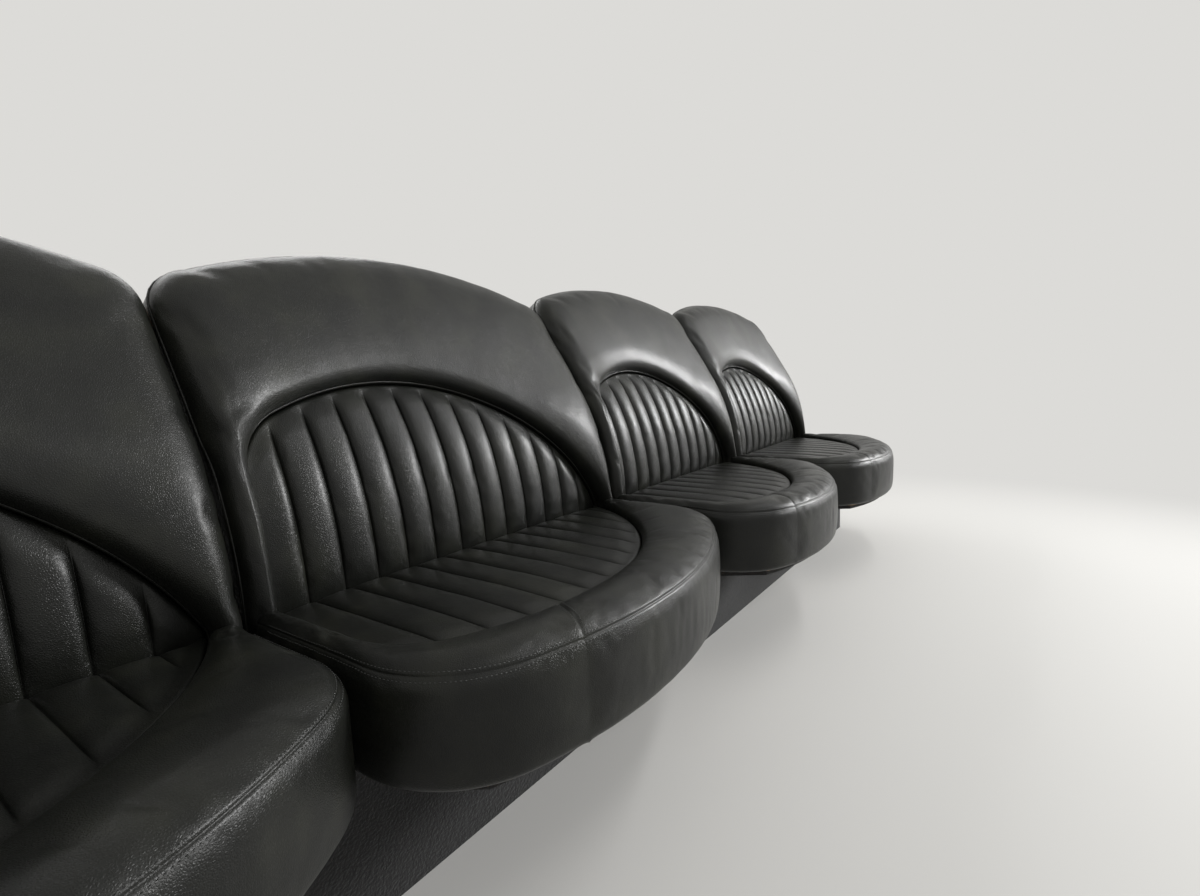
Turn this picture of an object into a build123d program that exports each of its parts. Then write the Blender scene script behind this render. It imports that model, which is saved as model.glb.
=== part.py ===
import os
from math import cos, radians, sin, sqrt, tan

from build123d import *

os.makedirs("parts", exist_ok=True)

# Side bench seat in millimetres. X runs along the bench, +Y is the wall side, +Z is up.
# Heights are over the floor. The bite line is where the back and the cushion meet.

# Seat sections from left to right: name, width of the pleated insets.
wide_inset = 806.0
narrow_inset = 682.0
SECTIONS = [
    ("1", wide_inset),
    ("2", wide_inset),
    ("3", narrow_inset),
    ("4", narrow_inset),
]
channel_pitch = 62.0
side_width = 40.0
section_gap = 6.0
soft_gap = 0.3

# Main heights and depths.
bite_height = 400.0
deck_top = 255.0
cushion_depth = 465.0
wall_depth = 315.0

# Back: its face starts upright and rolls back over an arc built of flats.
# Its outline is drawn square to the leaning face.
face_radius = 520.0
face_lean = 31.0
arc_flats = 5
bolster_proud = 32.0
back_height = 575.0
back_crest_radius = 1000.0
shoulder_radius = 78.0
bolster_bevel = 22.0

# Pleated insets: one long arc each, with its crest left of the middle.
inset_crest_share = 0.35
arch_height = 335.0
inset_depth = 362.0
inset_corner_radius = 117.0
groove_width = 14.0
groove_depth = 8.0

# Cushion: one long arc at the front, with its crest left of the middle.
cushion_crest_share = 0.41
cushion_right_depth = 290.0
cushion_left_radius = 170.0
cushion_right_radius = 140.0
cushion_board_thickness = 12.0
cushion_board_inset = 18.0
border_top = 408.0
cushion_panel_top = 396.0
border_bevel = 24.0

# Boards and ribs.
ply = 15.0
back_board_thickness = 12.0
back_board_inset = 14.0
board_foot_depth = 66.0
board_lean = 17.5
kick_depth = 185.0
deck_inset = 30.0
board_corner_cut = 60.0
back_rib_thickness = 18.0
back_rib_spacing = 520.0
back_rib_top = 860.0
rail_height = 60.0
rail_thickness = 20.0
rail_overhang = 40.0

# Floor brackets, two under each section.
bracket_leg = 60.0
bracket_width = 50.0
bracket_thickness = 5.0
bracket_hole_radius = 4.5
bracket_hole_reach = 36.0

# Places worked out from the sizes above.
lean = radians(face_lean)
bite_y = (cushion_depth - wall_depth) / 2
wall_y = bite_y + wall_depth
kick_y = bite_y - kick_depth
base_middle_y = (kick_y + wall_y) / 2
crest_z = bite_height + back_height
corner_z = crest_z + bolster_bevel * sin(lean)
deck_bottom = deck_top - ply
seat_bottom = deck_top + cushion_board_thickness
board_run = back_board_thickness / cos(radians(board_lean))
bench_length = sum(inset_width + 2 * side_width for _, inset_width in SECTIONS)
reach = 2 * (cushion_depth + wall_depth)


def placed_sections():
    """Name, inset width, middle and width of each section along the bench."""
    left = -bench_length / 2
    for name, inset_width in SECTIONS:
        width = inset_width + 2 * side_width
        yield name, inset_width, left + width / 2, width
        left += width


def arc_drop(radius, run):
    """How far an arc has fallen at a run from its level crest."""
    return radius - sqrt(radius**2 - run**2)


def arc_radius(run, drop):
    """Radius of an arc that falls by a drop at a run from its level crest."""
    return (run**2 + drop**2) / (2 * drop)


def board_y(z):
    """Y of the front face of the back boards at a height."""
    return bite_y + board_foot_depth + (z - deck_top) * tan(radians(board_lean))


def face_line(sunk):
    """Points up the bolster's face, or up one sunk behind it. Flats make up its arc."""
    radius = face_radius + bolster_proud - sunk
    centre_y = bite_y + face_radius
    turns = [lean * i / arc_flats for i in range(arc_flats + 1)]
    arc = [(centre_y - radius * cos(turn), bite_height + radius * sin(turn)) for turn in turns]
    end_y, end_z = arc[-1]
    return arc + [(end_y + (corner_z - end_z) * tan(lean), corner_z)]


def front_plane(x, z):
    """Plane of the outlines that are seen from the front. It faces the aisle from the wall."""
    return Plane(origin=(x, wall_y, z), x_dir=(1, 0, 0), z_dir=(0, -1, 0))


def leaning_plane(x):
    """Plane behind the bench, square to the leaning face, whose zero height is the arc's end."""
    end_y, end_z = face_line(0)[-2]
    origin = (x, end_y + wall_depth * cos(lean), end_z - wall_depth * sin(lean))
    return Plane(origin=origin, x_dir=(1, 0, 0), z_dir=(0, -cos(lean), sin(lean)))


def side_plane(x):
    """Plane of the profiles that are seen from the side. It faces right."""
    return Plane(origin=(x, 0, 0), x_dir=(0, 1, 0), z_dir=(1, 0, 0))


def seat_plane(x, z):
    """Plane of the cushion's outlines, whose own Y points from the bite line to the aisle."""
    return Plane(origin=(x, bite_y, z), x_dir=(1, 0, 0), z_dir=(0, 0, -1))


def pad_profile(x, sunk):
    """Side profile of the back's padding, from its face to the board."""
    line = face_line(sunk)
    rear = [(board_y(z) - soft_gap, z) for z in (corner_z, deck_top)]
    foot = (line[0][0], deck_top)
    with BuildSketch(side_plane(x)) as profile:
        with BuildLine():
            Polyline(foot, *line, *rear, close=True)
        make_face()
    return profile.sketch


def back_outline(x, width, inset=0):
    """Scallop of one back, square to its leaning face. Inset for a board, it has cut corners."""
    half = (width - section_gap) / 2 - inset
    crest = (corner_z - face_line(0)[-2][1]) / cos(lean) - inset
    side = crest - arc_drop(back_crest_radius - inset, half)
    with BuildSketch(leaning_plane(x)) as outline:
        with BuildLine():
            Polyline((-half, side), (-half, -reach), (half, -reach), (half, side))
            ThreePointArc((half, side), (0, crest), (-half, side))
        make_face()
        corners = vertices().sort_by(Axis.Y)[-2:]
        if inset:
            chamfer(corners, board_corner_cut)
        else:
            fillet(corners, shoulder_radius)
    return outline.sketch


def inset_outline(plane, half, rise, foot):
    """Pleated inset on both sides of the bite line, from its foot to its crest."""
    crest_x = (2 * inset_crest_share - 1) * half
    radius = arc_radius(half - crest_x, rise)
    left_rise = rise - arc_drop(radius, half + crest_x)
    with BuildSketch(plane) as outline:
        with BuildLine():
            Polyline((-half, left_rise), (-half, -foot), (half, -foot), (half, 0))
            ThreePointArc((half, 0), (crest_x, rise), (-half, left_rise))
        make_face()
        fillet(vertices().sort_by(Axis.Y)[-1], inset_corner_radius)
    return outline.sketch


def cushion_outline(x, z, width, inset=0):
    """Cushion from above, from the bolster to its swept front. Inset for a board, it has cut corners."""
    half = (width - section_gap) / 2 - inset
    back = bolster_proud + soft_gap + inset
    depth, right_depth = cushion_depth - inset, cushion_right_depth - inset
    crest_x = (cushion_crest_share - 0.5) * width
    radius = arc_radius(half - crest_x, depth - right_depth)
    left_depth = depth - arc_drop(radius, half + crest_x)
    with BuildSketch(seat_plane(x, z)) as outline:
        with BuildLine():
            Polyline((-half, left_depth), (-half, back), (half, back), (half, right_depth))
            ThreePointArc((half, right_depth), (crest_x, depth), (-half, left_depth))
        make_face()
        if inset:
            chamfer(vertices().sort_by(Axis.Y)[-2:], board_corner_cut)
        else:
            fillet(vertices().sort_by(Axis.Y)[-1], cushion_left_radius)
            fillet(vertices().sort_by(Axis.Y)[2:].sort_by(Axis.X)[-1], cushion_right_radius)
    return outline.sketch


def groove_outline(plane):
    """Narrow V of the sewn line between two channels, open over the face of the padding."""
    with BuildSketch(plane) as outline:
        with BuildLine():
            rim = (-groove_width, groove_depth), (groove_width, groove_depth)
            Polyline(*rim, (0, -groove_depth), close=True)
        make_face()
    return outline.sketch


# The pieces of each section, from the boards to the leather parts.
for name, inset_width, x, width in placed_sections():
    panel_half = inset_width / 2
    channels = round(inset_width / channel_pitch)
    groove_places = [x + (i / channels - 0.5) * inset_width for i in range(1, channels)]
    foot_drop = bite_height - deck_top

    # Plywood back board with the scalloped outline, a little smaller than the leather.
    with BuildPart() as back_board:
        with BuildSketch(side_plane(x - width)):
            with BuildLine():
                Polyline(
                    (board_y(deck_top), deck_top),
                    (board_y(deck_top) + board_run, deck_top),
                    (board_y(corner_z) + board_run, corner_z),
                    (board_y(corner_z), corner_z),
                    close=True,
                )
            make_face()
        extrude(amount=2 * width)
        extrude(back_outline(x, width, back_board_inset), amount=reach, mode=Mode.INTERSECT)
    back_board.part.label = f"back_board_{name}"
    export_step(back_board.part, f"parts/back_board_{name}.step")

    # Broad bolster with a bevelled rim and the arch of the pleated inset cut through it.
    with BuildPart() as back_bolster:
        extrude(pad_profile(x - width, 0), amount=2 * width)
        extrude(back_outline(x, width), amount=reach, mode=Mode.INTERSECT)
        front = back_bolster.faces().filter_by(lambda f: f.normal_at().Y < -0.5)
        inner = [e for f in front for e in f.edges() if e.center().Z > seat_bottom]
        rim = [e for e in inner if sum(e.is_same(other) for other in inner) == 1]
        chamfer(rim, bolster_bevel)
        arch = inset_outline(front_plane(x, bite_height), panel_half, arch_height, foot_drop)
        extrude(arch, amount=reach, mode=Mode.SUBTRACT)
    back_bolster.part.label = f"back_bolster_{name}"
    export_step(back_bolster.part, f"parts/back_bolster_{name}.step")

    # Pleated panel, sunk behind the bolster's face. Sewn grooves part its channels from the bite up.
    with BuildPart() as back_panel:
        extrude(pad_profile(x - width, bolster_proud), amount=2 * width)
        arch = inset_outline(
            front_plane(x, bite_height),
            panel_half - soft_gap,
            arch_height - soft_gap,
            foot_drop,
        )
        extrude(arch, amount=reach, mode=Mode.INTERSECT)
        for place in groove_places:
            with BuildLine(side_plane(place)) as seam:
                Polyline(*face_line(bolster_proud))
            path = seam.wires()[0]
            start = Plane(origin=path @ 0, x_dir=(-1, 0, 0), z_dir=path % 0)
            groove = groove_outline(start)
            sweep(groove, path=path, transition=Transition.RIGHT, mode=Mode.SUBTRACT)
    back_panel.part.label = f"back_panel_{name}"
    export_step(back_panel.part, f"parts/back_panel_{name}.step")

    # Plywood board under the cushion.
    with BuildPart() as cushion_board:
        board = cushion_outline(x, deck_top, width, cushion_board_inset)
        extrude(board, amount=-cushion_board_thickness)
    cushion_board.part.label = f"cushion_board_{name}"
    export_step(cushion_board.part, f"parts/cushion_board_{name}.step")

    # Border roll round the cushion, open where the pleated inset lies.
    with BuildPart() as cushion_border:
        extrude(cushion_outline(x, seat_bottom, width), amount=seat_bottom - border_top)
        front_y = bite_y - bolster_proud - soft_gap - border_bevel
        top_edges = cushion_border.faces().sort_by(Axis.Z)[-1].edges()
        chamfer(top_edges.filter_by(lambda e: e.center().Y < front_y), border_bevel)
        inset = inset_outline(seat_plane(x, border_top), panel_half, inset_depth, bolster_proud)
        extrude(inset, amount=cushion_depth, mode=Mode.SUBTRACT)
    cushion_border.part.label = f"cushion_border_{name}"
    export_step(cushion_border.part, f"parts/cushion_border_{name}.step")

    # Pleated inset of the cushion, with its channels in line with those of the back.
    with BuildPart() as cushion_panel:
        inset = inset_outline(
            seat_plane(x, seat_bottom),
            panel_half - soft_gap,
            inset_depth - soft_gap,
            bolster_proud,
        )
        extrude(inset, amount=seat_bottom - cushion_panel_top)
        rear_plane = Plane(origin=(x, bite_y - soft_gap, 0), z_dir=(0, -1, 0))
        split(bisect_by=rear_plane, keep=Keep.TOP)
        for place in groove_places:
            start = Plane(origin=(place, bite_y, cushion_panel_top), x_dir=(1, 0, 0), z_dir=(0, -1, 0))
            extrude(groove_outline(start), amount=cushion_depth, mode=Mode.SUBTRACT)
    cushion_panel.part.label = f"cushion_panel_{name}"
    export_step(cushion_panel.part, f"parts/cushion_panel_{name}.step")

# Deck of two boards that meet between the middle sections. Its front follows the cushions.
sections = list(placed_sections())
joint_x = sections[len(sections) // 2][2] - sections[len(sections) // 2][3] / 2
bench_left, bench_right = -bench_length / 2, bench_length / 2
for side, low_x, high_x in (("left", bench_left, joint_x), ("right", joint_x, bench_right)):
    length, centre_x = high_x - low_x, (low_x + high_x) / 2
    own = [row for row in sections if low_x < row[2] < high_x]

    with BuildPart() as deck_board:
        with BuildSketch(Plane.XY.offset(deck_bottom)):
            with Locations((centre_x, base_middle_y)):
                Rectangle(length, wall_y - kick_y)
        extrude(amount=ply)
        for _, _, x, width in own:
            extrude(cushion_outline(x, deck_bottom, width, deck_inset), amount=-ply)
    deck_board.part.label = f"deck_board_{side}"
    export_step(deck_board.part, f"parts/deck_board_{side}.step")

    # Kick board under the front of the deck, and the board under its rear edge.
    with BuildPart() as kick_board:
        with BuildSketch(Plane.XY):
            with Locations((centre_x, kick_y + ply / 2)):
                Rectangle(length, ply)
        extrude(amount=deck_bottom)
    kick_board.part.label = f"kick_board_{side}"
    export_step(kick_board.part, f"parts/kick_board_{side}.step")

    with BuildPart() as rear_board:
        with BuildSketch(Plane.XY):
            with Locations((centre_x, wall_y - ply / 2)):
                Rectangle(length, ply)
        extrude(amount=deck_bottom)
    rear_board.part.label = f"rear_board_{side}"
    export_step(rear_board.part, f"parts/rear_board_{side}.step")

    # End board between the kick board and the rear board.
    with BuildPart() as end_board:
        end_x = low_x + ply / 2 if side == "left" else high_x - ply / 2
        with BuildSketch(Plane.XY):
            with Locations((end_x, base_middle_y)):
                Rectangle(ply, wall_y - kick_y - 2 * ply)
        extrude(amount=deck_bottom)
    end_board.part.label = f"end_board_{side}"
    export_step(end_board.part, f"parts/end_board_{side}.step")

# Ribs under the deck, one at each joint between sections.
with BuildPart() as base_ribs:
    with BuildSketch(Plane.XY):
        with Locations(*[(x + width / 2, base_middle_y) for _, _, x, width in sections[:-1]]):
            Rectangle(ply, wall_y - kick_y - 2 * ply)
    extrude(amount=deck_bottom)
base_ribs.part.label = "base_ribs"
export_step(base_ribs.part, "parts/base_ribs.step")

# Ribs that hold the back boards at their lean, notched at the top for the rail.
rib_places = [x + side * back_rib_spacing / 2 for _, _, x, _ in sections for side in (-1, 1)]
with BuildPart() as back_ribs:
    for place in rib_places:
        with BuildSketch(side_plane(place - back_rib_thickness / 2)):
            with BuildLine():
                Polyline(
                    (board_y(deck_top) + board_run, deck_top),
                    (wall_y, deck_top),
                    (wall_y, back_rib_top - rail_height),
                    (wall_y - rail_thickness, back_rib_top - rail_height),
                    (wall_y - rail_thickness, back_rib_top),
                    (board_y(back_rib_top) + board_run, back_rib_top),
                    close=True,
                )
            make_face()
        extrude(amount=back_rib_thickness)
back_ribs.part.label = "back_ribs"
export_step(back_ribs.part, "parts/back_ribs.step")

# Rail in the notches of the ribs, against the wall.
with BuildPart() as back_rail:
    first, last = rib_places[0] - rail_overhang, rib_places[-1] + rail_overhang
    with BuildSketch(Plane.XY.offset(back_rib_top - rail_height)):
        with Locations(((first + last) / 2, wall_y - rail_thickness / 2)):
            Rectangle(last - first, rail_thickness)
    extrude(amount=rail_height)
back_rail.part.label = "back_rail"
export_step(back_rail.part, "parts/back_rail.step")

# Steel angles inside the base, at the middle of each section, with one hole in each foot.
with BuildPart() as floor_brackets:
    for face_y, facing in ((kick_y + ply, 1), (wall_y - ply, -1)):
        for _, _, x, _ in sections:
            with BuildSketch(side_plane(x - bracket_width / 2)):
                with BuildLine():
                    Polyline(
                        (face_y, 0),
                        (face_y + facing * bracket_leg, 0),
                        (face_y + facing * bracket_leg, bracket_thickness),
                        (face_y + facing * bracket_thickness, bracket_thickness),
                        (face_y + facing * bracket_thickness, bracket_leg),
                        (face_y, bracket_leg),
                        close=True,
                    )
                make_face()
            extrude(amount=bracket_width)
            with Locations((x, face_y + facing * bracket_hole_reach, bracket_thickness)):
                Hole(bracket_hole_radius, depth=2 * bracket_thickness)
floor_brackets.part.label = "floor_brackets"
export_step(floor_brackets.part, "parts/floor_brackets.step")
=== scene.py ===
from math import asin, cos, degrees, pi, radians, sin, sqrt, tan
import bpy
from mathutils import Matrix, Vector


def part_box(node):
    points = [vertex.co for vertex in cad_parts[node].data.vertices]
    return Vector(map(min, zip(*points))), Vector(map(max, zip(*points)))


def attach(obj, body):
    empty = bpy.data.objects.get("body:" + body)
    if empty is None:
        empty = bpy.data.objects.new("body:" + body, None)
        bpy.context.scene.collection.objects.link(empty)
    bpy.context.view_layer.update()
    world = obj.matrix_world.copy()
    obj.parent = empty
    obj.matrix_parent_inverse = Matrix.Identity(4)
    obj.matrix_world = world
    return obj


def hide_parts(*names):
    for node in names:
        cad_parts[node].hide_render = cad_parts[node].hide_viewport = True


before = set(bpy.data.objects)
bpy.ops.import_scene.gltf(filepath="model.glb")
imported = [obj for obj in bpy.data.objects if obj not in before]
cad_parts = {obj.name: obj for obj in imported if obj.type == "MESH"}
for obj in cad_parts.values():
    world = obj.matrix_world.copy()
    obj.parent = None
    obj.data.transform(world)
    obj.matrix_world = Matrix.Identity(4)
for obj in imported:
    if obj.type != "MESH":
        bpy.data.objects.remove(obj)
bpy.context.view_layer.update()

from types import SimpleNamespace

import bmesh
import bpy
from mathutils import Matrix, Vector, noise
from mathutils.bvhtree import BVHTree

# Base of the bench: kick boards, end boards and deck, in plywood with black cut-pile carpet glued on.
# The pile drinks the light and shows short tufts. They are drawn 4 mm wide, coarser than real,
# so that they show.
SIDES = ("left", "right")
TUFT, PILE_DEPTH = 0.004, 0.003
CARPET_DARK, CARPET_LIGHT = "#0c0c0d", "#1d1d1e"


def hex_colour(code):
    """Linear colour of an sRGB hex value."""
    parts = [int(code[i:i + 2], 16) / 255 for i in (1, 3, 5)]
    linear = [c / 12.92 if c <= 0.04045 else ((c + 0.055) / 1.055) ** 2.4 for c in parts]
    return (*linear, 1.0)


def add_node(owner, kind, settings=None, inputs=None):
    """Add a shader node to a material or world. An input is a value or another node's output."""
    tree = owner.node_tree
    node = tree.nodes.new("ShaderNode" + kind)
    for name, value in (settings or {}).items():
        setattr(node, name, value)
    for name, value in (inputs or {}).items():
        if isinstance(value, bpy.types.NodeSocket):
            tree.links.new(value, node.inputs[name])
        else:
            node.inputs[name].default_value = value
    return node


def new_material(name, roughness, **sockets):
    """Node material with its shader wired to its output, and the shader's even values."""
    material = bpy.data.materials.new(name)
    material.use_nodes = True
    material.node_tree.nodes.clear()
    shader = add_node(material, "BsdfPrincipled", inputs={"Roughness": roughness})
    for socket, value in sockets.items():
        shader.inputs[socket.replace("_", " ")].default_value = value
    add_node(material, "OutputMaterial", inputs={"Surface": shader.outputs[0]})
    return material, shader


def ramp(material, factor, *steps):
    """Colour ramp over a factor. A step is a place and a hex colour."""
    node = add_node(material, "ValToRGB", inputs={"Fac": factor})
    stops = node.color_ramp.elements
    while len(stops) < len(steps):
        stops.new(0.5)
    for stop, (place, colour) in zip(stops, steps):
        stop.position = place
        stop.color = hex_colour(colour)
    return node.outputs["Color"]


def finish_shader(material, shader, colour, height, depth):
    """Wire the colour and a bump of a real depth in metres to the shader."""
    bump = add_node(material, "Bump", inputs={"Height": height, "Distance": depth})
    material.node_tree.links.new(colour, shader.inputs["Base Color"])
    material.node_tree.links.new(bump.outputs[0], shader.inputs["Normal"])


def dress(node, material):
    """Give a node of the frame its material."""
    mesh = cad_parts[node].data
    mesh.materials.clear()
    mesh.materials.append(material)


carpet, shader = new_material("black_cut_pile_carpet", 0.95, Sheen_Weight=0.15)
spot = add_node(carpet, "TexCoord").outputs["Object"]
tufts = add_node(carpet, "TexNoise", inputs={"Vector": spot, "Scale": 1 / TUFT, "Detail": 3.0})
tufts = tufts.outputs["Fac"]
colour = ramp(carpet, tufts, (0.35, CARPET_DARK), (0.75, CARPET_LIGHT))
finish_shader(carpet, shader, colour, tufts, PILE_DEPTH)

for side in SIDES:
    for board in ("kick_board", "end_board", "deck_board"):
        dress(f"{board}_{side}", carpet)

# Ribs, rear boards and the boards under the leather, in bare birch plywood, glued and screwed.
# Peeled birch is pale, with fine long streaks.
SECTIONS = ("1", "2", "3", "4")
BIRCH_LIGHT, BIRCH_DARK = "#d0ad7c", "#b58c5a"
BIRCH_GRAIN, BIRCH_STRETCH = 0.006, 0.08
GRAIN_DEPTH = 0.0003

birch, shader = new_material("birch_plywood", 0.6)
spot = add_node(birch, "TexCoord").outputs["Object"]
along = add_node(birch, "Mapping", inputs={"Vector": spot, "Scale": (BIRCH_STRETCH, 1.0, 1.0)})
grain = add_node(birch, "TexNoise", inputs={
    "Vector": along.outputs[0], "Scale": 1 / BIRCH_GRAIN, "Detail": 4.0, "Distortion": 0.4})
grain = grain.outputs["Fac"]
colour = ramp(birch, grain, (0.3, BIRCH_DARK), (0.7, BIRCH_LIGHT))
finish_shader(birch, shader, colour, grain, GRAIN_DEPTH)

for section in SECTIONS:
    dress(f"back_board_{section}", birch)
    dress(f"cushion_board_{section}", birch)
for side in SIDES:
    dress(f"rear_board_{side}", birch)
dress("base_ribs", birch)
dress("back_ribs", birch)

# Rail along the tops of the back ribs, in planed softwood, screwed into their notches.
# Its year rings run along it as darker lines, 8 mm apart.
PINE_LIGHT, PINE_DARK = "#d9b27c", "#b98a50"
PINE_RINGS, PINE_STRETCH = 0.008, 0.04

pine, shader = new_material("planed_softwood", 0.55)
spot = add_node(pine, "TexCoord").outputs["Object"]
along = add_node(pine, "Mapping", inputs={"Vector": spot, "Scale": (PINE_STRETCH, 1.0, 1.0)})
rings = add_node(pine, "TexNoise", inputs={
    "Vector": along.outputs[0], "Scale": 1 / PINE_RINGS, "Detail": 2.0, "Distortion": 1.2})
rings = rings.outputs["Fac"]
colour = ramp(pine, rings, (0.35, PINE_DARK), (0.6, PINE_LIGHT))
finish_shader(pine, shader, colour, rings, GRAIN_DEPTH)
dress("back_rail", pine)

# Floor brackets: pressed steel angles, zinc plated, that bolt the base to the floor.
# The plating is a dull bright grey, clouded in patches of 12 mm.
ZINC_DARK, ZINC_LIGHT = "#9a9c9d", "#c3c5c6"
ZINC_PATCH, ZINC_DEPTH = 0.012, 0.0001

zinc, shader = new_material("zinc_plated_steel", 0.38, Metallic=1.0)
spot = add_node(zinc, "TexCoord").outputs["Object"]
patches = add_node(zinc, "TexVoronoi", inputs={"Vector": spot, "Scale": 1 / ZINC_PATCH})
patches = patches.outputs["Distance"]
colour = ramp(zinc, patches, (0.0, ZINC_LIGHT), (0.8, ZINC_DARK))
finish_shader(zinc, shader, colour, patches, ZINC_DEPTH)
dress("floor_brackets", zinc)

# Bolster of each back: foam over the board's edge, with black leather pulled round it.
# It rolls in to the pleated inset at the arch and out to a seam at the rim, and from there
# the leather goes over the board's edge.
BITE_Z = 0.400                                    # height of the line between back and cushion
FACE_RADIUS, FACE_LEAN = 0.520, radians(31)       # the face starts upright and rolls back
BACK_HEIGHT, BACK_RADIUS, SHOULDER_RADIUS = 0.5863, 1.000, 0.078
ARCH_RISE, CREST_SHARE, ARCH_CORNER = 0.335, 0.35, 0.117
BOARD_DEPTH, BOARD_LEAN, BOARD_THICKNESS = 0.066, radians(17.5), 0.0126
HEM = 0.013
LIP_ROLL, RIM_ROLL, BACK_CROWN = 0.021, 0.034, 0.010
NARROW_LIP, NARROW_RIM = 0.35, 0.6                # most of a narrow bolster that a roll takes up
LIP_TUCK, RIM_DROP = 0.012, 0.03                  # how far the lip and the rim's side reach in
RIM_PINCH, RIM_SEAM = 0.0035, 0.0030              # half width and depth of the seam at the rim
RAYS, LEG_RAYS = 132, 14
WAVES, WRINKLES = 11, 34                          # per metre, in the leather's relief
SKIN_RELIEF, RELIEF_SHIFT = 0.0009, 7
WELD = 0.00005

back_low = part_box("back_bolster_1")[0]
BITE_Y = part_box("back_panel_1")[0].y
PROUD = BITE_Y - back_low.y
FOOT = back_low.z - BITE_Z

# The hides have a fine pebble grain and a satin finish, which breaks the highlights up.
# Their rubbed crowns are a little greyer and smoother. The pebbles are drawn 2.4 mm wide,
# coarser than real, so that they show.
LEATHER_DARK, LEATHER, LEATHER_RUBBED = "#0f100e", "#171815", "#24251f"
PEBBLE, CREASE, CLOUD = 0.0024, 0.028, 0.09
PEBBLE_ROUND, CREASE_WEIGHT, SKIN_DEPTH = 0.35, 3.5, 0.00018
SHINE, WEAR = 0.22, 0.08


def leather_material(name, roughness):
    """Satin leather with pebble grain, soft creases and clouds of a lighter tone."""
    material, shader = new_material(
        name, roughness, Specular_IOR_Level=SHINE, Coat_Weight=0.10, Coat_Roughness=0.30)
    spot = add_node(material, "TexCoord").outputs["Object"]
    clouds = add_node(material, "TexNoise", inputs={"Vector": spot, "Scale": 1 / CLOUD, "Detail": 5.0})
    clouds = clouds.outputs["Fac"]
    colour = ramp(material, clouds, (0.3, LEATHER_DARK), (0.5, LEATHER), (0.75, LEATHER_RUBBED))
    pebbles = add_node(material, "TexVoronoi", {"feature": "DISTANCE_TO_EDGE"}, {
        "Vector": spot, "Scale": 1 / PEBBLE})
    rounded = add_node(material, "MapRange", {"interpolation_type": "SMOOTHERSTEP"}, {
        "Value": pebbles.outputs["Distance"], "From Max": PEBBLE_ROUND})
    creases = add_node(material, "TexNoise", inputs={
        "Vector": spot, "Scale": 1 / CREASE, "Detail": 6.0, "Roughness": 0.6})
    height = add_node(material, "Math", {"operation": "MULTIPLY_ADD"}, {
        0: creases.outputs["Fac"], 1: CREASE_WEIGHT, 2: rounded.outputs["Result"]})
    finish_shader(material, shader, colour, height.outputs[0], SKIN_DEPTH)
    worn = add_node(material, "MapRange", inputs={
        "Value": clouds, "To Min": roughness + WEAR, "To Max": roughness - WEAR})
    material.node_tree.links.new(worn.outputs["Result"], shader.inputs["Roughness"])
    return material


def arc_outline(half, crest_x, rise, radius, left_round, right_round):
    """Height over x of a long arc between two sides, with its corners rounded."""
    arc_z = rise - radius

    def height(x):
        side, rounding = (1, right_round) if x > crest_x else (-1, left_round)
        if rounding:
            corner_x = side * (half - rounding)
            spread = radius - rounding
            corner_z = arc_z + sqrt(spread ** 2 - (corner_x - crest_x) ** 2)
            start = crest_x + (corner_x - crest_x) * radius / spread
            if side * x > side * start:
                return corner_z + sqrt(max(rounding ** 2 - (x - corner_x) ** 2, 0))
        return arc_z + sqrt(radius ** 2 - (x - crest_x) ** 2)

    return height


def arc_radius(run, drop):
    """Radius of an arc that falls by a drop at a run from its level crest."""
    return (run ** 2 + drop ** 2) / (2 * drop)


def back_point(x, run, out):
    """Point of the back: a run up its face from the bite line, and out of the face."""
    turn = min(max(run / FACE_RADIUS, 0), FACE_LEAN)
    straight = run - FACE_RADIUS * turn
    radius = FACE_RADIUS + out
    y = BITE_Y + FACE_RADIUS - radius * cos(turn) + straight * sin(turn)
    z = BITE_Z + radius * sin(turn) + straight * cos(turn)
    return Vector((x, y, z))


def back_run(z):
    """Run up the back's face to a height over the bite line, as its bolster reaches it."""
    radius = FACE_RADIUS + PROUD
    if z < radius * sin(FACE_LEAN):
        return FACE_RADIUS * asin(max(z, 0) / radius)
    return FACE_RADIUS * FACE_LEAN + (z - radius * sin(FACE_LEAN)) / cos(FACE_LEAN)


def board_out(run):
    """How far out of the face the back board lies. It is behind, so less than zero."""
    spot = back_point(0, run, 0)
    turn = min(max(run / FACE_RADIUS, 0), FACE_LEAN)
    slope = tan(BOARD_LEAN)
    board_y = BITE_Y + BOARD_DEPTH + (spot.z - back_low.z) * slope
    return (spot.y - board_y) / (cos(turn) + slope * sin(turn))


def section_shape(sections):
    """Half widths and outlines of the backs of one width, round x = 0."""
    low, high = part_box(f"back_bolster_{sections[0]}")
    inset_low, inset_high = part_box(f"back_panel_{sections[0]}")
    half, inset = (high.x - low.x) / 2, (inset_high.x - inset_low.x) / 2
    crest_x = (2 * CREST_SHARE - 1) * inset
    arch_radius = arc_radius(inset - crest_x, ARCH_RISE)
    arch = arc_outline(inset, crest_x, ARCH_RISE, arch_radius, ARCH_CORNER, 0)
    top = arc_outline(half, 0, back_run(BACK_HEIGHT), BACK_RADIUS, SHOULDER_RADIUS, SHOULDER_RADIUS)
    return SimpleNamespace(
        sections=sections,
        half=half,
        inset=inset,
        crest_x=crest_x,
        arch=lambda x: back_run(arch(x)),
        top=top)


def reach(angle, half, height):
    """Distance from the middle of a level line to an outline over it, at an angle."""
    near, far = 0.0, 1.0
    for _ in range(30):
        tried = (near + far) / 2
        x, up = tried * cos(angle), tried * sin(angle)
        if abs(x) < half and up < height(x):
            near = tried
        else:
            far = tried
    return near


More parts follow.
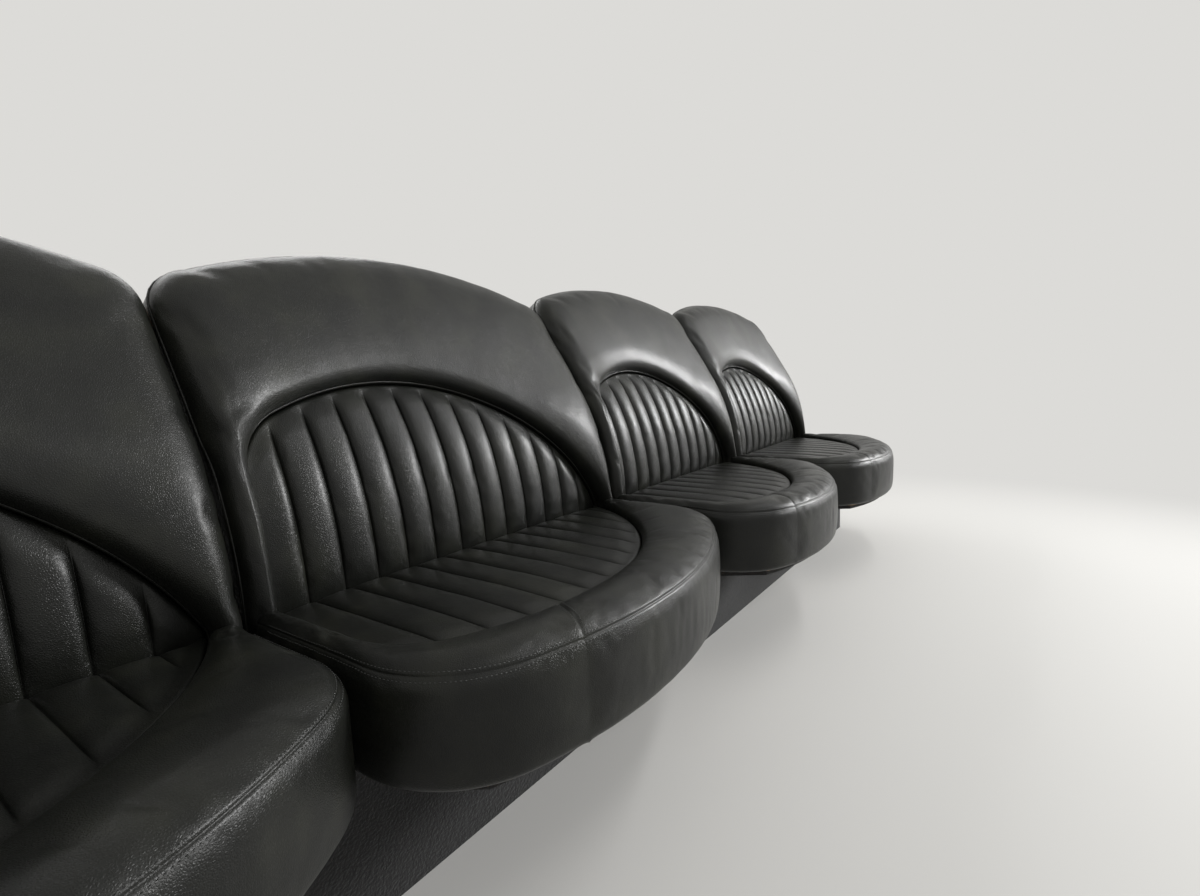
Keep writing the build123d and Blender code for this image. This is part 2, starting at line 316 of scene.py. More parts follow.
def matched_rays(places, inner, outer):
    """Pairs of points on two outlines, each a half and a height, on rays at places from 0 to 1."""
    pairs = []
    for place in places:
        angle = pi * (1 - place)
        distances = reach(angle, *inner), reach(angle, *outer)
        pairs.append([(distance * cos(angle), distance * sin(angle)) for distance in distances])
    return pairs


def ray_width(pair):
    """Distance from the first point of a pair to the second."""
    return sqrt((pair[1][0] - pair[0][0]) ** 2 + (pair[1][1] - pair[0][1]) ** 2)


def lay_grid(bm, columns, rows, place, hold=None):
    """Lay a grid whose points a function places. Another says how firmly Cloth holds each."""
    grip = bm.verts.layers.float.new("held") if hold else None
    points = bmesh.ops.create_grid(bm, x_segments=columns, y_segments=rows, size=1)["verts"]
    wide = max(v.co.x for v in points)
    tall = max(v.co.y for v in points)
    for v in points:
        i = round((v.co.x / wide + 1) / 2 * columns)
        j = round((v.co.y / tall + 1) / 2 * rows)
        v.co = place(i, j)
        if hold:
            v[grip] = hold(i, j)


def close_piece(bm):
    """Merge doubles, fill the open ends and turn the faces outwards."""
    bmesh.ops.remove_doubles(bm, verts=bm.verts, dist=WELD)
    filled = bmesh.ops.holes_fill(bm, edges=bm.edges, sides=0)["faces"]
    bmesh.ops.triangulate(bm, faces=filled)
    bmesh.ops.recalc_face_normals(bm, faces=bm.faces)
    for face in bm.faces:
        face.smooth = True


def swell(bm, pressure, spare, cap):
    """Let Cloth swell a pad with some spare leather against its held points, by no more than a cap."""
    mesh = bpy.data.meshes.new("pad")
    bm.to_mesh(mesh)
    pad = bpy.data.objects.new("pad", mesh)
    bpy.context.scene.collection.objects.link(pad)
    grip = bm.verts.layers.float["held"]
    group = pad.vertex_groups.new(name="held")
    bm.verts.ensure_lookup_table()
    for v in bm.verts:
        group.add([v.index], v[grip], "REPLACE")
    cloth = pad.modifiers.new("cloth", "CLOTH")
    cloth.settings.use_pressure = True
    cloth.settings.uniform_pressure_force = pressure
    cloth.settings.vertex_group_mass = "held"
    cloth.settings.effector_weights.gravity = 0
    cloth.settings.shrink_min = -spare
    for step in range(1, 21):
        bpy.context.scene.frame_set(step)
    swollen = pad.evaluated_get(bpy.context.evaluated_depsgraph_get()).data
    for v, moved in zip(bm.verts, swollen.vertices):
        shift = moved.co - v.co
        v.co += shift * min(1, cap / max(shift.length, 0.000001))
    bpy.data.objects.remove(pad)
    bpy.context.scene.frame_set(1)


def new_piece(name, bm, material):
    """Piece made of a bmesh, which rides on the bench."""
    mesh = bpy.data.meshes.new(name)
    bm.to_mesh(mesh)
    bm.free()
    mesh.materials.append(material)
    piece = bpy.data.objects.new(name, mesh)
    bpy.context.scene.collection.objects.link(piece)
    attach(piece, "root")
    return piece


def add_relief(bm, relief, section):
    """Soft waves and wrinkles in a piece's leather, different in each section."""
    bm.normal_update()
    place = Vector((0, 0, RELIEF_SHIFT * int(section)))
    for v in bm.verts:
        wave = noise.noise(v.co * WAVES + place) + 0.5 * noise.noise(v.co * WRINKLES)
        v.co += v.normal * relief * wave


def repeat_piece(name, shape, bm, material, relief=0.0):
    """A piece for each section of one width, from its shape round x = 0."""
    pattern = bpy.data.meshes.new(name)
    bm.to_mesh(pattern)
    bm.free()
    pieces = []
    for section in shape.sections:
        low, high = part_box(f"back_bolster_{section}")
        copy = bmesh.new()
        copy.from_mesh(pattern)
        bmesh.ops.translate(copy, verts=copy.verts, vec=((low.x + high.x) / 2, 0, 0))
        if relief:
            add_relief(copy, relief, section)
        pieces.append(new_piece(f"{name}_{section}", copy, material))
    bpy.data.meshes.remove(pattern)
    return pieces


def repeat_pad(name, shape, bm, material, relief):
    """Padded pieces that take the place of the frame's nodes of the same name, one level finer."""
    pads = repeat_piece(f"{name}_pad", shape, bm, material, relief)
    for piece, section in zip(pads, shape.sections):
        finer = piece.modifiers.new("finer", "SUBSURF")
        finer.levels = finer.render_levels = 1
        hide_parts(f"{name}_{section}")


def roll(centre, radius, start, end, count):
    """Points of a roll in section, from a start angle to an end angle in degrees."""
    points = []
    for i in range(count):
        angle = radians(start + (end - start) * i / max(count - 1, 1))
        points.append((centre[0] + radius * cos(angle), centre[1] + radius * sin(angle)))
    return points


def rim_roll(width):
    """Radius of the roll at the rim of a bolster of some width."""
    return min(RIM_ROLL, NARROW_RIM * width)


def bolster_section(width):
    """Section of the bolster: across from the inset's edge, out of its face, and its hold.

    Where it lies on the board's face, it has no way out of its own."""
    lip = min(LIP_ROLL, NARROW_LIP * width)
    rim = rim_roll(width)
    flat = width - lip - rim
    seam = PROUD - rim
    points = [(0, None, 1), (0, -LIP_TUCK, 1), (-0.001, 0.004, 0.9)]
    points += [(*p, 0.3) for p in roll((lip - 0.002, PROUD - lip), lip, 180, 90, 6)]
    points += [(lip + flat * i / 9, PROUD, 0) for i in range(1, 9)]
    points += [(*p, 0.1) for p in roll((width - rim, seam), rim, 90, 12, 8)]
    points += [(width - 0.0003, seam + RIM_PINCH, 0.7), (width - RIM_SEAM, seam, 1)]
    points += [(width - 0.0003, seam - RIM_PINCH, 0.7)]
    points += [(width, seam * (1 - i / 4) - RIM_DROP * i / 4, 0.8) for i in (1, 2, 3)]
    points += [(width, None, 1), (width, -BOARD_THICKNESS, 1), (width - HEM, -BOARD_THICKNESS, 1)]
    points += [(width - HEM, None, 1), (width * 0.33, None, 1), (0, None, 1)]
    return points


def bolster_rays(shape):
    """Pairs of points on the arch and on the rim, up the left leg, round and down the right leg."""
    places = [k / RAYS for k in range(RAYS + 1)]
    rays = matched_rays(places, (shape.inset, shape.arch), (shape.half, shape.top))
    runs = [FOOT * (1 - k / LEG_RAYS) for k in range(LEG_RAYS)]
    left_leg = [[(-shape.inset, run), (-shape.half, run)] for run in runs]
    right_leg = [[(shape.inset, run), (shape.half, run)] for run in reversed(runs)]
    return left_leg + rays + right_leg


def bolster_spot(pair, across, out, behind=False):
    """Point of the back between the arch and the rim, at a distance from the arch.

    With no way out given it is on the board's face, and behind it the way is counted from there."""
    (x0, run0), (x1, run1) = pair
    share = across / ray_width(pair)
    x, run = x0 + (x1 - x0) * share, run0 + (run1 - run0) * share
    if out is None:
        out = board_out(run)
    elif behind:
        out += board_out(run)
    elif 0 < share < 1:
        out += BACK_CROWN * 4 * share * (1 - share)
    return back_point(x, run, out)


black_leather = leather_material("black_leather", 0.36)
SHAPES = [section_shape(SECTIONS[:2]), section_shape(SECTIONS[2:])]

for shape in SHAPES:
    rays = bolster_rays(shape)
    profiles = [bolster_section(ray_width(pair)) for pair in rays]

    def place_bolster(i, j):
        """Point of the bolster on a ray, at a point of its section."""
        across, out = profiles[i][j][:2]
        return bolster_spot(rays[i], across, out, out == -BOARD_THICKNESS)

    bolster = bmesh.new()
    lay_grid(bolster, len(rays) - 1, len(profiles[0]) - 1, place_bolster, lambda i, j: profiles[i][j][2])
    close_piece(bolster)
    swell(bolster, pressure=3.0, spare=0.003, cap=0.006)
    repeat_pad("back_bolster", shape, bolster, black_leather, relief=SKIN_RELIEF)

# Piping along the arch and in the seam of the rim: a cord in a folded strip of the same leather,
# sewn in between the two pieces of the cover.
PIPE_RADIUS, PIPE_SIDES = 0.0026, 8
PIPE_TILT = Vector((0.31, 0.17, 0.94))            # the piping never runs this way
ARCH_SINK, ARCH_STAND = 0.0005, 0.0035
RIM_SINK = 0.0012


def tube(bm, path, radius):
    """Round cord along a path of points."""
    def place(i, j):
        """Point round the path at one of its points."""
        ahead = (path[min(i + 1, len(path) - 1)] - path[max(i - 1, 0)]).normalized()
        across = ahead.cross(PIPE_TILT).normalized()
        over = ahead.cross(across)
        angle = 2 * pi * j / PIPE_SIDES
        return path[i] + radius * (cos(angle) * across + sin(angle) * over)

    lay_grid(bm, len(path) - 1, PIPE_SIDES, place)


for shape in SHAPES:
    rays = bolster_rays(shape)
    arch_rays = rays[LEG_RAYS - 2:2 - LEG_RAYS]
    widths = [ray_width(pair) for pair in rays]
    rim_spots = [(width - RIM_SINK, PROUD - rim_roll(width)) for width in widths]
    piping = bmesh.new()
    tube(piping, [bolster_spot(pair, -ARCH_SINK, ARCH_STAND) for pair in arch_rays], PIPE_RADIUS)
    tube(piping, [bolster_spot(pair, *spot) for pair, spot in zip(rays, rim_spots)], PIPE_RADIUS)
    close_piece(piping)
    repeat_piece("back_piping", shape, piping, black_leather)

# Hem behind each back board: the bolster's leather, turned over the board's edge.
# Its raw inner edge is cut by hand, so it wavers.
HEM_WIDTH, HEM_THICKNESS, HEM_SINK = 0.034, 0.0014, 0.0002
HEM_WAVER, WAVER_STEP = 0.002, 0.37


def hem_spot(pair, across, out):
    """Point behind the back board, at a distance in from the rim and out of the board."""
    return bolster_spot(pair, ray_width(pair) - across, -BOARD_THICKNESS - out, behind=True)


hem_outer, hem_inner = HEM - 0.001, HEM + HEM_WIDTH
hem_profile = [
    (hem_outer, -HEM_SINK), (hem_outer, HEM_THICKNESS), (HEM + 0.010, HEM_THICKNESS),
    (hem_inner, HEM_THICKNESS * 0.8), (hem_inner, -HEM_SINK), (hem_outer, -HEM_SINK)]

for shape in SHAPES:
    rays = bolster_rays(shape)

    def place_hem(i, j):
        """Point of the hem on a ray, at a point of its section."""
        across, out = hem_profile[j]
        if across == hem_inner:
            across += HEM_WAVER * noise.noise(Vector((i * WAVER_STEP, 0, 0)))
        return hem_spot(rays[i], across, out)

    hem = bmesh.new()
    lay_grid(hem, len(rays) - 1, len(hem_profile) - 1, place_hem)
    close_piece(hem)
    repeat_piece("back_hem", shape, hem, black_leather)

# Staples that hold the hem, in bright drawn steel wire with a mirror shine, shot in with a gun.
# They stand 30 mm apart, each turned a little by the hand that shot it.
STAPLE_WIRE = "#b9babb"
STAPLE_LENGTH, STAPLE_WIDTH, STAPLE_HEIGHT = 0.010, 0.0011, 0.0008
STAPLE_PITCH, STAPLE_INSET = 0.030, 0.022
STAPLE_TURN, TURN_STEP = 18, 1.7

staple_steel, shader = new_material("bright_staple_wire", 0.3, Metallic=1.0)
shader.inputs["Base Color"].default_value = hex_colour(STAPLE_WIRE)
board_back = Vector((0, cos(BOARD_LEAN), -sin(BOARD_LEAN)))

for shape in SHAPES:
    staples = bmesh.new()
    spots = [hem_spot(pair, HEM + STAPLE_INSET, HEM_THICKNESS) for pair in bolster_rays(shape)]
    travelled = 0.0
    for i, (spot, next_spot) in enumerate(zip(spots, spots[1:])):
        travelled += (next_spot - spot).length
        if travelled < STAPLE_PITCH:
            continue
        travelled = 0.0
        slant = radians(STAPLE_TURN * noise.noise(Vector((i * TURN_STEP, 3, 0))))
        along = Matrix.Rotation(slant, 3, board_back) @ (next_spot - spot).normalized()
        across = board_back.cross(along).normalized()
        sides = along * STAPLE_LENGTH, across * STAPLE_WIDTH, board_back * STAPLE_HEIGHT
        placed = Matrix.Translation(spot) @ Matrix(sides).transposed().to_4x4()
        bmesh.ops.create_cube(staples, size=1, matrix=placed)
    repeat_piece("hem_staples", shape, staples, staple_steel)

# Pleated panel of each back: leather quilted to wadding in channels, sewn down at each groove.
# The channels swell between the stitch lines and run out in a flat band under the arch.
# Its leather is the bolster's, a little shinier where it is stretched.
CHANNEL = 0.062
BULGE, GROOVE = 0.008, 0.007
EDGE_BAND, EDGE_FADE = 0.006, 0.045
EDGE_ROLL, EDGE_DEPTH, EDGE_GAP = 0.006, 0.014, 0.001
EDGE_HOLD, EDGE_STEP = 0.005, 0.001
PLEAT_FLATNESS = 3.6                              # 2 is a round channel, and more is a flatter one
CHANNEL_STEPS = (0, 0.035, 0.09, 0.18, 0.32, 0.6, 1.0, 1.4, 1.68, 1.82, 1.91, 1.965)
PANEL_ROWS = 34
EDGE_ROWS = (0.030, 0.020, 0.013, 0.008, 0.004, 0.0015, 0.0)
PANEL_FOOT = -0.10
FOOT_SWELL, FOOT_FADE = 0.25, (-0.02, 0.04)       # share of the swell left under the bite line
BACK_SIDES = Vector((0, 0.030, -0.012))
PLEAT_RELIEF = 0.0006

pleated_leather = leather_material("pleated_black_leather", 0.34)


def channel_width(shape):
    """Width of one channel, of which a whole number fills the inset."""
    return 2 * shape.inset / round(2 * shape.inset / CHANNEL)


def panel_columns(shape):
    """Places of the panel's columns along x, close together at the stitch lines."""
    pitch = channel_width(shape)
    count = round(2 * shape.inset / pitch)
    columns = [-shape.inset + pitch * (k + step / 2) for k in range(count) for step in CHANNEL_STEPS]
    return columns + [shape.inset]


def smooth_share(value, start, end):
    """Share from 0 to 1 of a value between a start and an end, eased at both."""
    share = min(max((value - start) / (end - start), 0), 1)
    return share * share * (3 - 2 * share)


def channel_swell(shape, x, strength):
    """Height of the channels over x: full between two stitch lines, sunk at each of them."""
    place = (x + shape.inset) / channel_width(shape) % 1 * 2 - 1
    full = sqrt(max(1 - abs(place) ** PLEAT_FLATNESS, 0))
    return strength * (full * (BULGE + GROOVE) - GROOVE)


def edge_drop(distance):
    """How far the leather has rolled down at a distance from its seam."""
    if distance >= EDGE_ROLL:
        return 0
    return EDGE_DEPTH * (1 - sqrt(max(1 - (1 - distance / EDGE_ROLL) ** 2, 0)))


def edge_distance(shape, x, up, height):
    """Distance from a point of an inset to its outline, about square to it."""
    left, right = max(x - EDGE_STEP, -shape.inset), min(x + EDGE_STEP, shape.inset)
    slope = (height(right) - height(left)) / (2 * EDGE_STEP)
    over = (height(x) - up) / sqrt(1 + slope ** 2)
    return max(min(over, shape.inset - abs(x)), 0)


def drawn_in(shape, x):
    """Place of a column, with both sides of the panel drawn in from the inset's edge."""
    return x * (1 - EDGE_GAP / shape.inset)


def channel_hold(column, distance):
    """How firmly Cloth holds a point: at the stitch lines and at the panel's edge."""
    step = column % len(CHANNEL_STEPS)
    nearest = min(step, len(CHANNEL_STEPS) - step)
    if nearest == 0 or distance < EDGE_HOLD:
        return 1.0
    return 0.6 if nearest == 1 else 0.0


def close_pad(bm, shift):
    """Close a pleated face with sides that run back by a shift, and a flat back."""
    rim = [edge for edge in bm.edges if edge.is_boundary]
    sides = bmesh.ops.extrude_edge_only(bm, edges=rim)["geom"]
    moved = [part for part in sides if isinstance(part, bmesh.types.BMVert)]
    bmesh.ops.translate(bm, verts=moved, vec=shift)
    close_piece(bm)


for shape in SHAPES:
    columns = panel_columns(shape)

    def back_spot(i, j):
        """Run and edge distance of a point of the back's pleated face."""
        top = shape.arch(columns[i])
        if j <= PANEL_ROWS:
            run = PANEL_FOOT + (top - EDGE_ROWS[0] - PANEL_FOOT) * j / PANEL_ROWS
        else:
            run = top - EDGE_ROWS[j - PANEL_ROWS]
        return run, edge_distance(shape, columns[i], run, shape.arch)

    def place_back(i, j):
        """Point of the back's pleated face in a column and a row."""
        run, distance = back_spot(i, j)
        strength = FOOT_SWELL + (1 - FOOT_SWELL) * smooth_share(run, *FOOT_FADE)
        strength *= smooth_share(distance, EDGE_BAND, EDGE_FADE)
        out = channel_swell(shape, columns[i], strength) - edge_drop(distance)
        return back_point(drawn_in(shape, columns[i]), run - EDGE_GAP, out)

    def hold_back(i, j):
        """How firmly Cloth holds a point of the back's pleated face."""
        run, distance = back_spot(i, j)
        return 1.0 if run < 0 else channel_hold(i, distance)

    panel = bmesh.new()
    lay_grid(panel, len(columns) - 1, PANEL_ROWS + len(EDGE_ROWS) - 1, place_back, hold_back)
    swell(panel, pressure=3.0, spare=0.002, cap=0.0025)
    close_pad(panel, BACK_SIDES)
    repeat_pad(
        "back_panel", shape, panel, pleated_leather, relief=PLEAT_RELIEF)

# Border of each cushion: a broad roll of foam round the inset, covered in black leather.
# Its top meets its boxing in a seam round the front, a cross seam joins the top's two pieces,
# and the boxing curls in under the board.
CUSHION_DEPTH, CUSHION_RIGHT_DEPTH = 0.465, 0.290
CUSHION_CREST_SHARE = 0.41
CUSHION_LEFT_ROUND, CUSHION_RIGHT_ROUND = 0.170, 0.140
INSET_DEPTH = 0.362
BORDER_RAYS = 156
BORDER_LIP, BORDER_ROLL, BORDER_CROWN = 0.012, 0.036, 0.006
UNDER_ROLL, UNDER_GAP = 0.014, 0.0006
CROWN_BAND = 0.02
SEAM_ANGLE, SEAM_DEPTH = 36, 0.0022               # where the seam lies on the roll, in degrees
SEAM_EDGE, SEAM_SHOULDER, BOXING_TOP = 3, 7, 20
CROSS_RAY, CROSS_DEPTH = 52, 0.0030
CROSS_SPREAD = 0.25                               # of a ray's width, from the seam to its neighbours

border_low, border_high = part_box("cushion_border_1")
BORDER_BACK = BITE_Y - border_high.y
BORDER_TOP = border_high.z
SEAT_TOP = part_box("cushion_panel_1")[1].z
SEAT_BOTTOM = border_low.z
CUSHION_BOARD = 0.012
DECK_TOP = SEAT_BOTTOM - CUSHION_BOARD


def add_cushion(shape):
    """Add the outlines of the cushion's inset and front to the shape of a section."""
    front_x = (2 * CUSHION_CREST_SHARE - 1) * shape.half
    depth_radius = arc_radius(shape.inset - shape.crest_x, INSET_DEPTH)
    front_radius = arc_radius(shape.half - front_x, CUSHION_DEPTH - CUSHION_RIGHT_DEPTH)
    shape.depth = arc_outline(shape.inset, shape.crest_x, INSET_DEPTH, depth_radius, ARCH_CORNER, 0)
    shape.front = arc_outline(
        shape.half, front_x, CUSHION_DEPTH, front_radius, CUSHION_LEFT_ROUND, CUSHION_RIGHT_ROUND)


def outer_roll(width):
    """Radius of the roll at the front of a border of some width."""
    return min(BORDER_ROLL, NARROW_RIM * width)


def border_section(width):
    """Section of the cushion's border: across from the inset's edge, up from the floor, and its hold."""
    lip = min(BORDER_LIP, NARROW_LIP * width)
    outer = outer_roll(width)
    flat = width - lip - outer
    centre = (width - outer, BORDER_TOP - outer)
    under = (width - UNDER_ROLL, DECK_TOP + UNDER_GAP + UNDER_ROLL)
    side = centre[1] - under[1]
    points = [(0, SEAT_BOTTOM, 1), (0, SEAT_TOP - 0.016, 1), (-0.001, SEAT_TOP - 0.004, 0.9)]
    points += [(*p, 0.3) for p in roll((lip - 0.001, BORDER_TOP - lip), lip, 180, 90, 6)]
    points += [(lip + flat * i / 8, BORDER_TOP, 0) for i in range(1, 8)]
    points += [(*p, 0.1) for p in roll(centre, outer, 90, SEAM_ANGLE + 2 * SEAM_SHOULDER, 6)]
    points += [(*p, 0.8) for p in roll(centre, outer, SEAM_ANGLE + SEAM_SHOULDER, SEAM_ANGLE + SEAM_EDGE, 2)]
    points += [(*p, 1.0) for p in roll(centre, outer - SEAM_DEPTH, SEAM_ANGLE, SEAM_ANGLE, 1)]
    points += [(*p, 0.8) for p in roll(centre, outer, SEAM_ANGLE - SEAM_EDGE, SEAM_ANGLE - SEAM_SHOULDER, 2)]
    points += [(*p, 0.1) for p in roll(centre, outer, BOXING_TOP, 0, 3)]
    points += [(width, centre[1] - side * i / 6, 0.2) for i in range(1, 6)]
    points += [(*p, 1) for p in roll(under, UNDER_ROLL, 0, -90, 5)]
    points += [(under[0] - UNDER_GAP, SEAT_BOTTOM - 0.0005, 1), (width * 0.33, SEAT_BOTTOM, 1)]
    return points + [(0, SEAT_BOTTOM, 1)]


def border_spot(pair, across, z):
    """Point of the cushion's border at a distance from the inset and at a height."""
    (x0, depth0), (x1, depth1) = pair
    share = across / ray_width(pair)
    if 0 < share < 1 and z > SEAT_TOP - CROWN_BAND:
        z += BORDER_CROWN * 4 * share * (1 - share)
    depth = BORDER_BACK + depth0 + (depth1 - depth0) * share
    return Vector((x0 + (x1 - x0) * share, BITE_Y - depth, z))


def border_rays(shape):
    """Pairs of points on the inset and on the front of the cushion, closer at the cross seam."""
    places = [k / BORDER_RAYS for k in range(BORDER_RAYS + 1)]
    for side in (-1, 1):
        places[CROSS_RAY + side] = (CROSS_RAY + side * CROSS_SPREAD) / BORDER_RAYS
    return matched_rays(
        places,
        (shape.inset, lambda x: shape.depth(x) - BORDER_BACK),
        (shape.half, lambda x: shape.front(x) - BORDER_BACK))


border_skins = []
for shape in SHAPES:
    add_cushion(shape)
    rays = border_rays(shape)
    profiles = [border_section(ray_width(pair)) for pair in rays]

    def place_border(i, j):
        """Point of the border on a ray, at a point of its section, sunk at the cross seam."""
        spot = border_spot(rays[i], *profiles[i][j][:2])
        if i == CROSS_RAY:
            spot.z -= CROSS_DEPTH
        return spot

    def hold_border(i, j):
        """How firmly Cloth holds a point: at both ends, at the cross seam and as its section says."""
        if i in (0, BORDER_RAYS) or abs(i - CROSS_RAY) <= 1:
            return 1.0
        return profiles[i][j][2]

    border = bmesh.new()
    lay_grid(border, BORDER_RAYS, len(profiles[0]) - 1, place_border, hold_border)
    close_piece(border)
    swell(border, pressure=3.0, spare=0.006, cap=0.005)
    border_skins.append(BVHTree.FromBMesh(border))
    repeat_pad("cushion_border", shape, border, black_leather, relief=SKIN_RELIEF)

# Double row of stitches beside the cushion's seams, in charcoal bonded nylon thread.
# The thread is a little lighter than the leather. Each stitch is a short bead, half sunk in it.
THREAD = "#3a3b39"
STITCH, STITCH_GAP, THREAD_RADIUS = 0.0042, 0.0014, 0.00055
STITCH_OFFSET, STITCH_LIFT, PATH_LIFT = 0.0045, 0.0005, 0.003
CROSS_START, CROSS_END, CROSS_STEPS = 0.012, 0.018, 12
FREE_RAYS = slice(4, -4)

thread, shader = new_material("charcoal_bonded_thread", 0.5, Sheen_Weight=0.2)
shader.inputs["Base Color"].default_value = hex_colour(THREAD)


def seam_spot(pair, angle):
    """Point just over the roll of the border, at an angle."""
    outer = outer_roll(ray_width(pair))
    reach_out = outer + PATH_LIFT
    across = ray_width(pair) - outer + reach_out * cos(radians(angle))
    return border_spot(pair, across, BORDER_TOP - outer + reach_out * sin(radians(angle)))


def stitches(bm, skin, path):
    """Stitches along a path, laid on the skin of a swollen pad."""
    nearest = [skin.find_nearest(spot)[:2] for spot in path]
    laid = [(spot + STITCH_LIFT * out, out) for spot, out in nearest]
    travelled = 0.0
    for (near, out), (far, _) in zip(laid, laid[1:]):
        span = (far - near).length
        ahead = (far - near).normalized()
        across = ahead.cross(out).normalized()
        while travelled < span:
            middle = near + ahead * travelled
            sides = -out * THREAD_RADIUS * 1.2, -across * THREAD_RADIUS, ahead * STITCH / 2
            placed = Matrix.Translation(middle) @ Matrix(sides).transposed().to_4x4()
            bmesh.ops.create_uvsphere(bm, u_segments=5, v_segments=2, radius=1, matrix=placed)
            travelled += STITCH + STITCH_GAP
        travelled -= span


for shape, skin in zip(SHAPES, border_skins):
    rays = border_rays(shape)
    cross = rays[CROSS_RAY]
    length = ray_width(cross) - CROSS_START - CROSS_END
    middle = [border_spot(cross, CROSS_START + length * k / CROSS_STEPS, BORDER_TOP)
              for k in range(CROSS_STEPS + 1)]
    aside = (middle[-1] - middle[0]).cross(Vector((0, 0, 1))).normalized() * STITCH_OFFSET
    rows = bmesh.new()
    for side in (-1, 1):
        stitches(rows, skin, [spot + side * aside for spot in middle])
        angle = SEAM_ANGLE + side * degrees(STITCH_OFFSET / BORDER_ROLL)
        stitches(rows, skin, [seam_spot(pair, angle) for pair in rays[FREE_RAYS]])
    for face in rows.faces:
        face.smooth = True
    repeat_piece("cushion_stitches", shape, rows, thread)

# Pleated panel of each cushion, quilted as the back's is, with its channels in line with them.
# It rolls down into the bite line and meets the border in a sewn crease.
SEAT_ROLL, ROLL_ROWS = 0.022, 5
SEAT_ROWS = 34
SEAT_CROWN, CROWN_FADE = 0.004, 0.15
SEAT_RELIEF = 0.65                                # of the swell of the back's channels
SEAT_SIDES = Vector((0, 0, -0.045))
BITE_GAP, BITE_FADE = 0.002, (-0.01, 0.05)

for shape in SHAPES:
    columns = panel_columns(shape)

    def seat_spot(i, j):
        """Depth, drop and edge distance of a point of the cushion's pleated face."""
        front = shape.depth(columns[i])
        last = max(front - EDGE_ROWS[0], BITE_GAP)
        drop = 0
        if j <= ROLL_ROWS:
            angle = pi / 2 * j / ROLL_ROWS
            drop = SEAT_ROLL * (1 - sin(angle))
            depth = min(BITE_GAP + SEAT_ROLL * (1 - cos(angle)), last)
        elif j <= SEAT_ROWS:
            start = min(BITE_GAP + SEAT_ROLL, last)
            depth = start + max(front - EDGE_ROWS[0] - start, 0) * (j - ROLL_ROWS) / (SEAT_ROWS - ROLL_ROWS)
        else:
            depth = max(front - EDGE_ROWS[j - SEAT_ROWS], BITE_GAP)
        return depth, drop, edge_distance(shape, columns[i], depth, shape.depth)

    def place_seat(i, j):
        """Point of the cushion's pleated face in a column and a row."""
        depth, drop, distance = seat_spot(i, j)
        strength = smooth_share(distance, EDGE_BAND, EDGE_FADE) * smooth_share(depth, *BITE_FADE)
        crown = SEAT_CROWN * smooth_share(distance, 0, CROWN_FADE)
        relief = SEAT_RELIEF * channel_swell(shape, columns[i], strength)
        z = SEAT_TOP - drop + crown + relief - edge_drop(distance)
        return Vector((drawn_in(shape, columns[i]), BITE_Y - depth + EDGE_GAP, z))

    def hold_seat(i, j):
        """How firmly Cloth holds a point of the cushion's pleated face."""
        return 1.0 if j < 2 else channel_hold(i, seat_spot(i, j)[2])

    seat = bmesh.new()
    lay_grid(seat, len(columns) - 1, SEAT_ROWS + len(EDGE_ROWS) - 1, place_seat, hold_seat)
    swell(seat, pressure=4.0, spare=0.008, cap=0.004)
    close_pad(seat, SEAT_SIDES)
    repeat_pad(
        "cushion_panel", shape, seat, pleated_leather, relief=PLEAT_RELIEF)

# Floor: one plain pale painted plane under the bench.
# It fades to the colour of the world between 1.8 and 3.3 m from the middle.
PALE = "#dcdbd8"
FLOOR_SIZE, FADE_START, FADE_END = 60.0, 1.8, 3.3

floor_paint, shader = new_material("pale_floor", 0.8)
shader.inputs["Base Color"].default_value = hex_colour(PALE)
surface = shader.outputs[0].links[0].to_socket
spot = add_node(floor_paint, "TexCoord").outputs["Object"]
far = add_node(floor_paint, "VectorMath", {"operation": "LENGTH"}, {0: spot})
fade = add_node(floor_paint, "MapRange", {"interpolation_type": "SMOOTHSTEP"}, {
    "Value": far.outputs["Value"], "From Min": FADE_START, "From Max": FADE_END})
glow = add_node(floor_paint, "Emission", inputs={"Color": hex_colour(PALE), "Strength": 1.0})
mix = add_node(floor_paint, "MixShader", inputs={
    0: fade.outputs["Result"], 1: shader.outputs[0], 2: glow.outputs[0]})
floor_paint.node_tree.links.new(mix.outputs[0], surface)

plane = bmesh.new()
bmesh.ops.create_grid(plane, x_segments=1, y_segments=1, size=FLOOR_SIZE / 2)
mesh = bpy.data.meshes.new("floor")
plane.to_mesh(mesh)
plane.free()
mesh.materials.append(floor_paint)
floor = bpy.data.objects.new("floor", mesh)
bpy.context.scene.collection.objects.link(floor)

# Studio light: a pale world that lights softly, and large soft lamps.
# The key shines along the bench from beyond its far end, and a lamp behind draws the rims.
WORLD_LIGHT = 0.45
LAMPS = (
    # name, place, width, height, watts
    ("key", (7.2, -4.6, 3.4), 2.2, 1.6, 780),
    ("front_fill", (-1.2, -3.2, 2.8), 3.0, 2.0, 8),
    ("aisle_strip", (0.6, -1.1, 2.3), 3.2, 0.2, 12),
    ("rim", (0.2, 2.6, 2.8), 3.5, 0.4, 36),
)
AIM = Vector((0.2, 0.0, 0.55))

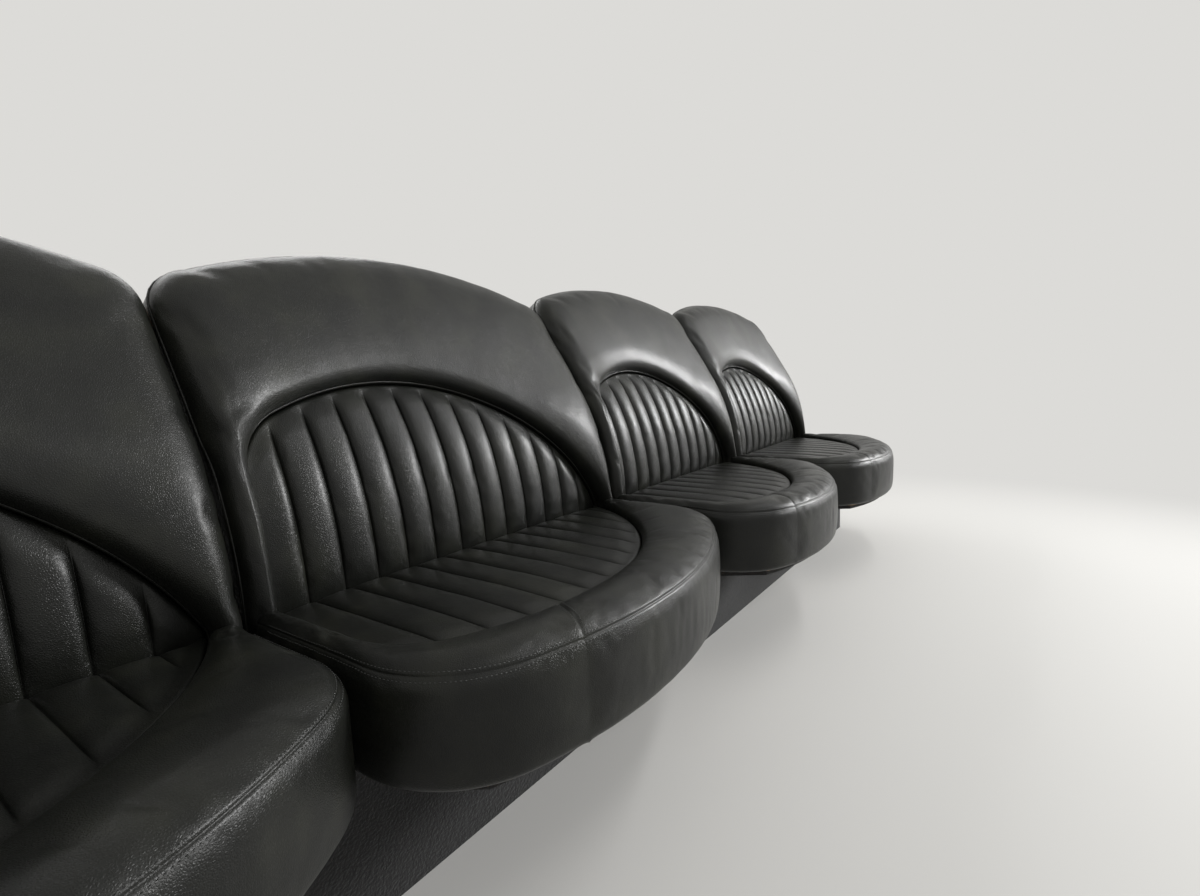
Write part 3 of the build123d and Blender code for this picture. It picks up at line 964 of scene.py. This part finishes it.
world = bpy.data.worlds.new("pale_studio")
bpy.context.scene.world = world
world.use_nodes = True
world.node_tree.nodes.clear()
rays_cast = add_node(world, "LightPath")
seen = add_node(world, "Math", {"operation": "MAXIMUM"}, {
    0: rays_cast.outputs["Is Camera Ray"], 1: rays_cast.outputs["Is Glossy Ray"]})
seen = add_node(world, "Math", {"operation": "MAXIMUM"}, {
    0: seen.outputs[0], 1: rays_cast.outputs["Is Transmission Ray"]})
strength = add_node(world, "MapRange", inputs={
    "Value": seen.outputs[0], "To Min": WORLD_LIGHT, "To Max": 1.0})
sky = add_node(world, "Background", inputs={
    "Color": hex_colour(PALE), "Strength": strength.outputs["Result"]})
add_node(world, "OutputWorld", inputs={"Surface": sky.outputs[0]})

for name, place, width, height, watts in LAMPS:
    lamp = bpy.data.lights.new(name, "AREA")
    lamp.shape = "RECTANGLE"
    lamp.size = width
    lamp.size_y = height
    lamp.energy = watts
    light = bpy.data.objects.new(name, lamp)
    light.location = place
    light.rotation_euler = (AIM - Vector(place)).to_track_quat("-Z", "Y").to_euler()
    light.visible_camera = False
    bpy.context.scene.collection.objects.link(light)

# Camera at the photograph's place: beside the first section, looking along the bench.
# Its lens is as long as the photograph's, in pixels of a frame 1200 wide.
LENS_PIXELS, FRAME_PIXELS, SENSOR = 628, 1200, 36.0
YAW, PITCH, ROLL = radians(35.48), radians(7.01), radians(-2.34)
CAMERA_PLACE = (-1.148, -0.826, 0.724)

view = bpy.data.cameras.new("camera")
view.sensor_width = SENSOR
view.lens = LENS_PIXELS / FRAME_PIXELS * SENSOR
camera = bpy.data.objects.new("camera", view)
ahead = Vector((cos(PITCH) * cos(YAW), cos(PITCH) * sin(YAW), -sin(PITCH)))
right = Vector((sin(YAW), -cos(YAW), 0))
up = right.cross(ahead)
rolled_right = cos(ROLL) * right + sin(ROLL) * up
rolled_up = -sin(ROLL) * right + cos(ROLL) * up
turn = Matrix((rolled_right, rolled_up, -ahead)).transposed()
camera.matrix_world = Matrix.Translation(CAMERA_PLACE) @ turn.to_4x4()
bpy.context.scene.collection.objects.link(camera)
bpy.context.scene.camera = camera
bpy.context.scene.view_settings.view_transform = "Standard"

bpy.context.view_layer.update()
